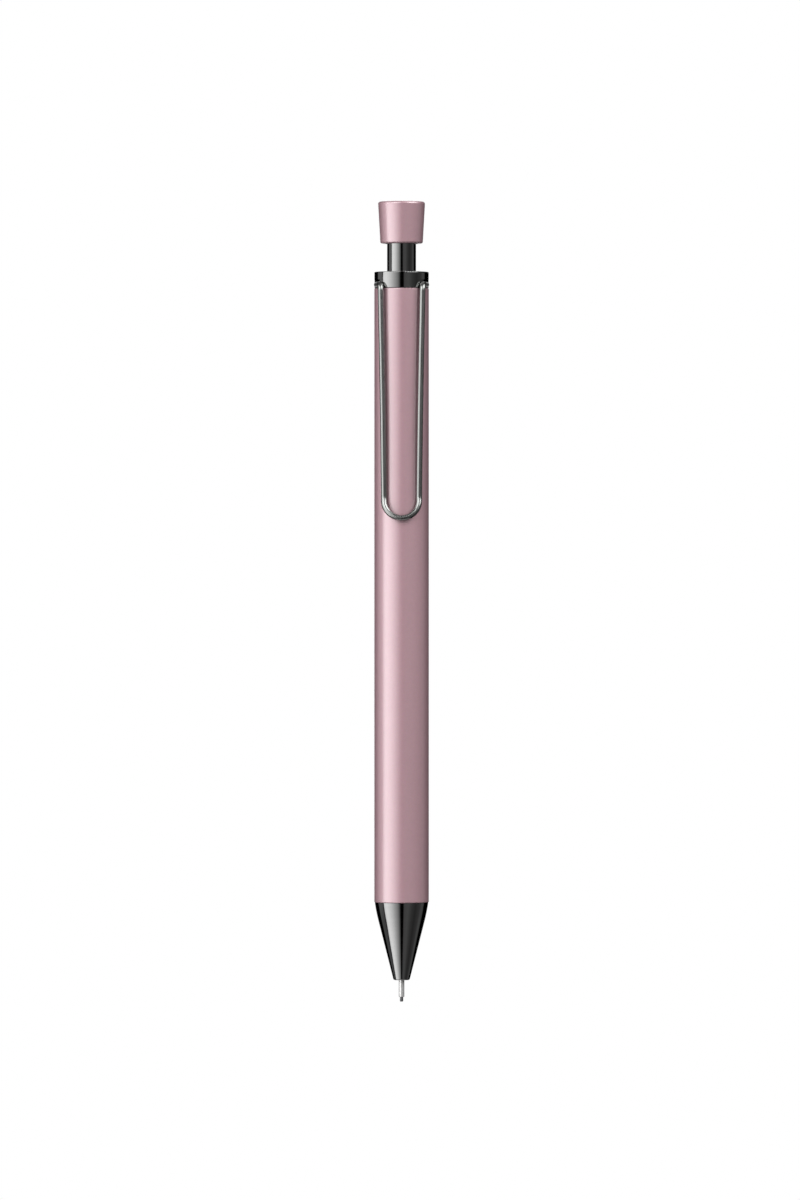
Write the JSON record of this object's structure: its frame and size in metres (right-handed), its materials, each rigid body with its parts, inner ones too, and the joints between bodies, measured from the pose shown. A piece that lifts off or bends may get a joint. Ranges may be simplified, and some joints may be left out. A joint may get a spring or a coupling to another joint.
{
  "type": "lead holder",
  "caption": "Slim push-button lead holder for fine leads, with a round metal barrel, a dark cone, a bent-wire clip and a tapered button.",
  "frame": {"origin": "centre of the guide sleeve's lower end, at the writing tip", "axes": "+Z along the holder's axis from the tip to the button, -Y towards the clip, +X to the right seen from the clip's side"},
  "size_m": [0.0094, 0.0104, 0.137],
  "materials": {
    "rose_metal": "satin pearl rose-pink finish on aluminium",
    "black_chrome": "polished black chrome plate",
    "black_wire": "drawn wire with a black chrome plate",
    "stainless": "fine drawn stainless tube",
    "spring_steel": "bright spring wire",
    "brass": "turned brass",
    "tinned_metal": "drawn thin sheet",
    "dark_plastic": "moulded, fine matt",
    "clear_grey_plastic": "extruded tube, semi-gloss",
    "white_plastic": "moulded acetal",
    "black_rubber": "matt",
    "eraser_rubber": "matt white, slightly chalky",
    "graphite": "graphite with a dull sheen"
  },
  "bodies": {
    "holder": {"barrel": "rose_metal", "front_insert": "brass", "mechanism_housing": "dark_plastic", "cap_ring": "black_chrome", "guide_bush": "white_plastic", "chuck_spring": "spring_steel"},
    "plunger": {"push_stem": "black_chrome", "lead_magazine": "clear_grey_plastic", "spare_leads": "graphite", "magazine_connector": "dark_plastic", "chuck": "brass"},
    "clutch": {"clutch_ring": "brass"},
    "lead": {"writing_lead": "graphite"},
    "retainer": {"lead_retainer": "black_rubber"},
    "nose": {"nose_cone": "black_chrome", "guide_sleeve": "stainless"},
    "clip": {"wire_clip": "black_wire"},
    "eraser_unit": {"eraser_ferrule": "tinned_metal", "eraser": "eraser_rubber", "cleaning_pin": "stainless"},
    "button": {"push_button": "rose_metal", "button_liner": "dark_plastic"}
  },
  "joints": [
    {"name": "button_press", "type": "slide", "parent": "holder", "child": "plunger", "axis": [0, 0, -1], "range_m": [0, 0.0035], "stiffness_N_per_m": 700, "springref_m": -0.0036, "deforming": ["chuck_spring"]},
    {"name": "clutch_feed", "type": "slide", "parent": "holder", "child": "clutch", "axis": [0, 0, -1], "range_m": [0, 0.0008]},
    {"name": "lead_feed", "type": "slide", "parent": "holder", "child": "lead", "axis": [0, 0, -1], "range_m": [0, 0.0008]},
    {"name": "nose_advance", "type": "slide", "parent": "holder", "child": "retainer", "axis": [0, 0, -1], "range_m": [0, 0.00525]},
    {"name": "nose_unscrew", "type": "hinge", "parent": "retainer", "child": "nose", "pos_m": [0, 0, 0.0162], "axis": [0, 0, -1], "range_deg": [0, 2520]},
    {"name": "clip_lift", "type": "hinge", "parent": "holder", "child": "clip", "pos_m": [0, 0, 0.12195], "axis": [-1, 0, 0], "range_deg": [0, 4], "stiffness_Nm_per_rad": 1.2, "springref_deg": -1.15},
    {"name": "eraser_pull", "type": "slide", "parent": "plunger", "child": "eraser_unit", "axis": [0, 0, 1], "range_m": [0, 0.019]},
    {"name": "button_pull", "type": "slide", "parent": "eraser_unit", "child": "button", "axis": [0, 0, 1], "range_m": [0, 0.008]}
  ],
  "couplings": [
    {"joint": "clutch_feed", "follows": "button_press", "ratio": 0.22857},
    {"joint": "lead_feed", "follows": "button_press", "ratio": 0.22857},
    {"joint": "nose_unscrew", "follows": "nose_advance", "rad_per_m": 8377.6}
  ]
}
